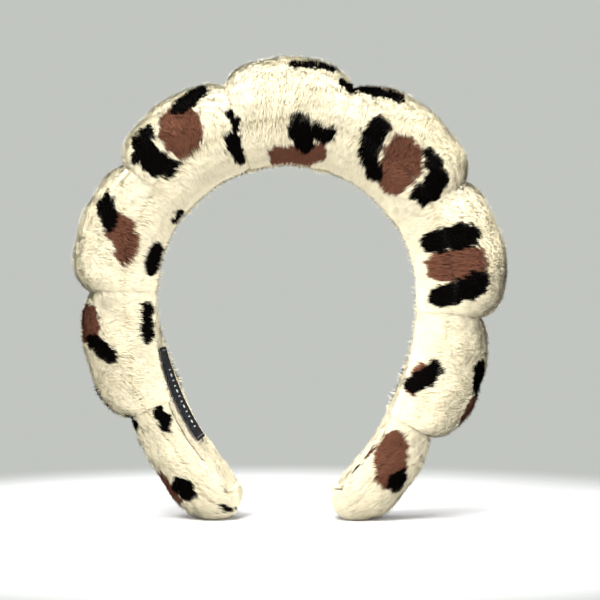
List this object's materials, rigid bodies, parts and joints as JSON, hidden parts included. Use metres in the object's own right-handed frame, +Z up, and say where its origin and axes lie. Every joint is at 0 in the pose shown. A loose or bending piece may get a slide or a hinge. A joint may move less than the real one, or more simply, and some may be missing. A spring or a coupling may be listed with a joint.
{
  "type": "spa headband",
  "caption": "Puffy plush headband: a springy hoop with padded lobes in a spotted plush cover, pinched in by threads, with a flat lining inside.",
  "frame": {"origin": "on the table between the two leg tips, midway between the widest lobes", "axes": "+X to the viewer's right across the headband, +Y to its back, +Z up from the leg tips to the crown"},
  "size_m": [0.1828, 0.0438, 0.1961],
  "materials": {
    "plush": "matte",
    "lining": "matte",
    "padding": "matte",
    "hoop_plastic": "satin",
    "thread": "matte",
    "label_weave": "matte"
  },
  "bodies": {
    "crown": {"plush_cover_crown": "plush", "padding_crown": "padding", "crease_tie_4": "thread", "crease_tie_5": "thread", "hoop_strip": "hoop_plastic", "lining_strip": "lining"},
    "left_shoulder": {"plush_cover_left_shoulder": "plush", "padding_left_shoulder": "padding", "crease_tie_3": "thread"},
    "left_temple": {"plush_cover_left_temple": "plush", "padding_left_temple": "padding", "crease_tie_2": "thread"},
    "left_leg": {"plush_cover_left_ear": "plush", "padding_left_ear": "padding", "crease_tie_1": "thread", "plush_cover_left_tip": "plush", "padding_left_tip": "padding", "woven_label": "label_weave"},
    "right_shoulder": {"plush_cover_right_shoulder": "plush", "padding_right_shoulder": "padding", "crease_tie_6": "thread"},
    "right_temple": {"plush_cover_right_temple": "plush", "padding_right_temple": "padding", "crease_tie_7": "thread"},
    "right_leg": {"plush_cover_right_ear": "plush", "padding_right_ear": "padding", "crease_tie_8": "thread", "plush_cover_right_tip": "plush", "padding_right_tip": "padding"}
  },
  "joints": [
    {"name": "left_crown_flex", "type": "hinge", "parent": "crown", "child": "left_shoulder", "pos_m": [-0.01857, 0, 0.15321], "axis": [0, 1, 0], "range_deg": [-2, 9], "stiffness_Nm_per_rad": 2.2, "deforming": ["hoop_strip", "lining_strip"]},
    {"name": "left_shoulder_flex", "type": "hinge", "parent": "left_shoulder", "child": "left_temple", "pos_m": [-0.04856, 0, 0.13324], "axis": [0, 1, 0], "range_deg": [-1.7, 7.3], "stiffness_Nm_per_rad": 2.2},
    {"name": "left_ear_flex", "type": "hinge", "parent": "left_temple", "child": "left_leg", "pos_m": [-0.06188, 0, 0.09678], "axis": [0, 1, 0], "range_deg": [-1.1, 4.6], "stiffness_Nm_per_rad": 2.2},
    {"name": "right_crown_flex", "type": "hinge", "parent": "crown", "child": "right_shoulder", "pos_m": [0.01654, 0, 0.15274], "axis": [0, -1, 0], "range_deg": [-2, 9], "stiffness_Nm_per_rad": 2.2},
    {"name": "right_shoulder_flex", "type": "hinge", "parent": "right_shoulder", "child": "right_temple", "pos_m": [0.04878, 0, 0.12797], "axis": [0, -1, 0], "range_deg": [-1.7, 7.3], "stiffness_Nm_per_rad": 2.2},
    {"name": "right_ear_flex", "type": "hinge", "parent": "right_temple", "child": "right_leg", "pos_m": [0.05807, 0, 0.08809], "axis": [0, -1, 0], "range_deg": [-1.1, 4.6], "stiffness_Nm_per_rad": 2.2}
  ],
  "couplings": [
    {"joint": "left_shoulder_flex", "follows": "left_crown_flex", "ratio": 0.8},
    {"joint": "left_ear_flex", "follows": "left_crown_flex", "ratio": 0.5},
    {"joint": "right_shoulder_flex", "follows": "right_crown_flex", "ratio": 0.8},
    {"joint": "right_ear_flex", "follows": "right_crown_flex", "ratio": 0.5}
  ]
}
